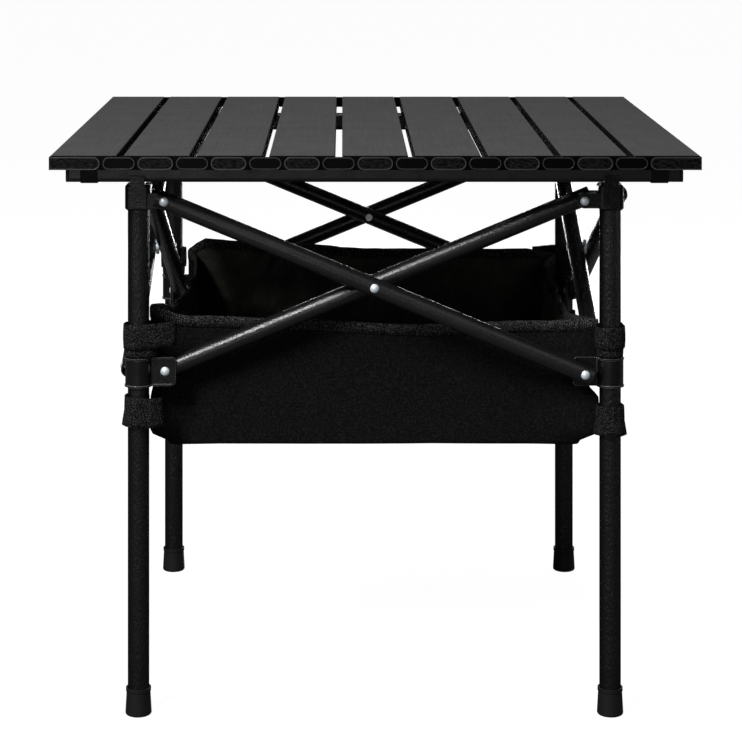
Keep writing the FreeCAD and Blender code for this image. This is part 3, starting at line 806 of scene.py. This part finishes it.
def binding_section():
    """The tape's cross-section over the bag's edge, as (outward, upward), from its outer hem over
    the edge to its inner hem."""
    half = BINDING_THICKNESS / 2
    return (
        (half, -BINDING_WIDTH),
        (half * BINDING_SWELL, -half),
        (0.0, half * BINDING_CROWN),
        (-half * BINDING_SWELL - FABRIC, -half),
        (-half - FABRIC, -BINDING_WIDTH),
    )


def bag_binding():
    """Folded tape over the bag's top edge, inside and outside."""
    outline = bag_outline()
    section = binding_section()
    scale = BINDING_WAVES_PER_METRE
    points, uvs, shares = [], [], []
    run = 0.0
    for index, (x, y, side, along) in enumerate(outline):
        before = outline[index - 1]
        run += math.hypot(x - before[0], y - before[1])
        edge = wall_point(x, y, side, along, 0.0)
        at_corner = 1 - smoothstep(min(along, 1 - along) / BINDING_CORNER_REACH)
        facing = outward(side) * (1 - at_corner) + Vector((x, y, 0)).normalized() * at_corner
        facing.normalize()
        for step, (out, up) in enumerate(section):
            up += BINDING_WAVE * noise.noise(Vector((x * scale, y * scale, out * BINDING_WAVE_SPREAD)))
            depth = max(0.0, -up) / (edge.z - BAG_LOW.z)
            point = wall_point(x, y, side, along, depth) + facing * out
            point.z = edge.z + up
            points.append(point)
            uvs.append((run, step * BINDING_WIDTH / 2))
            shares.append(wall_share(point, side, along, 0.0))
    faces = loft_faces(len(outline), len(section), closed=True)
    binding = mesh_object("storage_bag_binding", points, faces, [heather_tape()], uvs)
    follow_frame(binding, "front_left_collar", shares)


# ---------------------------------------------------------------- straps
def strap_path(gap, reach):
    """Plan of a strap round a leg at the origin, for the front left corner: from the bag's corner
    round the back and the outer side of the leg, across its front and on to a free end."""
    radius = LEG_RADIUS + gap
    path = []
    for step in range(WRAP_STEPS + 1):
        angle = WRAP_START + WRAP_TURN * step / WRAP_STEPS
        path.append(Vector((radius * math.cos(angle), radius * math.sin(angle))))
    leave = path[-1]
    end = Vector((reach, FREE_END_SIDE))
    for step in range(1, FREE_STEPS + 1):
        share = step / FREE_STEPS
        bow = Vector((0.0, -FREE_END_BOW * math.sin(math.pi * share)))
        path.append(leave.lerp(end, share) + bow)
    return path


def strap_points(corner, path, low, high, tilt, flare):
    """Rows of points along a strap, each a loop up its outer face and down its inner face. Returns
    them with how far up the strap each one is, from 0 to 1."""
    axis = Vector((CORNER_SIGNS[corner][0] * LEG_AXIS, CORNER_SIGNS[corner][1] * LEG_AXIS, 0))
    height = (low + high) / 2
    climb = [step / STRAP_ROWS for step in range(STRAP_ROWS + 1)]
    section = [(STRAP_THICKNESS, up) for up in climb] + [(0.0, up) for up in reversed(climb)]
    points, ups = [], []
    for index, place in enumerate(path):
        ahead = path[min(index + 1, len(path) - 1)] - path[max(index - 1, 0)]
        facing = Vector((ahead.y, -ahead.x)).normalized()
        at = Vector((index * WOBBLES_PER_STEP, height * WOBBLE_SPREAD, corner))
        wobble = STRAP_WOBBLE * noise.noise(at)
        for layer, up in section:
            crown = STRAP_CROWN * math.sin(math.pi * up)
            lean = max(0.0, flare * (2 * up - 1))
            spot = place + facing * (layer + crown + lean + abs(wobble))
            z = height + (high - low) * (up - 0.5) + tilt * spot.x + wobble
            points.append(axis + Vector((*turned(spot.x, spot.y, corner), z)))
            ups.append(up)
    return points, ups


def strap_faces(rows):
    """The skin of a strap and its two ends."""
    size = 2 * (STRAP_ROWS + 1)
    faces = loft_faces(rows, size)
    last = (rows - 1) * size
    for row in range(STRAP_ROWS):
        end = (row, row + 1, size - row - 2, size - row - 1)
        faces.append(end)
        faces.append(tuple(last + point for point in reversed(end)))
    return faces


def strap(kind, corner, pile, path, low, high, tilt=0.0, flare=0.0, fold_shares=(1.0, 1.0)):
    """One webbing strap on a leg, from height low to height high. tilt is its rise per metre to the
    right of the leg, seen from outside. flare leans its top edge out from the leg, or its bottom
    edge if it is negative. fold_shares says how much of the collar's travel its bottom and top
    edges take in folding."""
    name = CORNERS[corner]
    points, ups = strap_points(corner, path, low, high, tilt, flare)
    weights = tuple(1.0 if other == corner else 0.0 for other in range(4))
    at_low, at_high = fold_shares
    shares = [(weights, at_low + (at_high - at_low) * up) for up in ups]
    made = mesh_object(f"{name}_{kind}", points, strap_faces(len(path)), [pile])
    follow_frame(made, f"{name}_collar", shares)
    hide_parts(f"{name}_bag_straps")


def straps():
    """On each leg: an upper strap over a short inner turn, above the collar, and a lower strap
    below it, which is squeezed between collar and foot in folding."""
    pile = loop_pile()
    for corner, tilt in enumerate(UPPER_TILTS):
        path = strap_path(UPPER_GAPS[corner], UPPER_REACHES[corner])
        high = UPPER_LOW + UPPER_WIDTHS[corner]
        strap("upper_strap", corner, pile, path, UPPER_LOW, high, tilt, UPPER_FLARES[corner])
        path = strap_path(INNER_GAP, INNER_REACH)
        strap("inner_turn", corner, pile, path, INNER_LOW, INNER_LOW + INNER_WIDTH)
        path = strap_path(LOWER_GAP, LOWER_REACH)
        low = STRAP_LOW.z - LOWER_DROPS[corner]
        high = low + LOWER_WIDTH
        at_low = (low - FOOT_TOP) / COLLAR_TRAVEL
        at_high = 1 + (high - COLLAR_LOW.z) / COLLAR_TRAVEL
        strap("lower_strap", corner, pile, path, low, high, -tilt, LOWER_FLARE, (at_low, at_high))


# ---------------------------------------------------------------- background, lights and camera
def surroundings():
    """A white background seen by the camera, and a dim grey surround felt by the object."""
    world = bpy.data.worlds.new("studio")
    world.use_nodes = True
    tree = world.node_tree
    tree.nodes.clear()
    rays = tree.nodes.new("ShaderNodeLightPath")
    felt = tree.nodes.new("ShaderNodeBackground")
    felt.inputs["Color"].default_value = SURROUND_COLOUR
    felt.inputs["Strength"].default_value = SURROUND_GLOW
    seen = tree.nodes.new("ShaderNodeBackground")
    seen.inputs["Color"].default_value = WHITE
    mix = tree.nodes.new("ShaderNodeMixShader")
    out = tree.nodes.new("ShaderNodeOutputWorld")
    tree.links.new(rays.outputs["Is Camera Ray"], mix.inputs["Fac"])
    tree.links.new(felt.outputs["Background"], mix.inputs[1])
    tree.links.new(seen.outputs["Background"], mix.inputs[2])
    tree.links.new(mix.outputs["Shader"], out.inputs["Surface"])
    bpy.context.scene.world = world
    bpy.context.scene.view_settings.view_transform = "Standard"


def soft_lights():
    """Rectangular area lights aimed at the table."""
    for name, place, size, power in LIGHTS:
        light = bpy.data.lights.new(name, "AREA")
        light.shape = "RECTANGLE"
        light.size, light.size_y = size
        light.energy = power
        lamp = bpy.data.objects.new(name, light)
        lamp.location = place
        lamp.rotation_euler = (LIGHT_TARGET - Vector(place)).to_track_quat("-Z", "Y").to_euler()
        bpy.context.scene.collection.objects.link(lamp)


def floor():
    """A plain pale floor that glows white to the camera and takes a faint shadow."""
    made, tree, shader = new_material(
        "pale_floor",
        Base_Color=FLOOR_COLOUR,
        Roughness=1.0,
        Specular_IOR_Level=0.0,
        Emission_Color=WHITE,
    )
    rays = tree.nodes.new("ShaderNodeLightPath")
    glow = calculate(tree, "MULTIPLY", rays.outputs["Is Camera Ray"], FLOOR_GLOW)
    tree.links.new(glow, shader.inputs["Emission Strength"])
    corners = [(x * FLOOR_HALF, y * FLOOR_HALF, 0) for x, y in CORNER_SIGNS]
    mesh_object("floor", corners, [(0, 1, 2, 3)], [made])


def camera():
    """The camera that matches the reference view: level, with its lens shifted down. The shift
    acts only while the camera stands in this place, so that other views stay centred."""
    lens = bpy.data.cameras.new("camera")
    lens.sensor_width = CAMERA_SENSOR
    lens.lens = CAMERA_LENS
    view = bpy.data.objects.new("camera", lens)
    view.location = CAMERA_PLACE
    view.rotation_euler = (QUARTER_TURN, 0.0, 0.0)
    bpy.context.scene.collection.objects.link(view)
    bpy.context.scene.camera = view
    for setting, amount in zip(("shift_x", "shift_y"), CAMERA_SHIFT):
        driver = lens.driver_add(setting).driver
        driver.type = "SCRIPTED"
        variable = driver.variables.new()
        variable.name = "y"
        variable.type = "TRANSFORMS"
        variable.targets[0].id = view
        variable.targets[0].transform_type = "LOC_Y"
        driver.expression = f"{amount} if abs(y - {CAMERA_PLACE.y}) < {CAMERA_TOLERANCE} else 0"


paint_cad_pieces()
storage_bag()
bag_binding()
straps()
surroundings()
soft_lights()
floor()
camera()
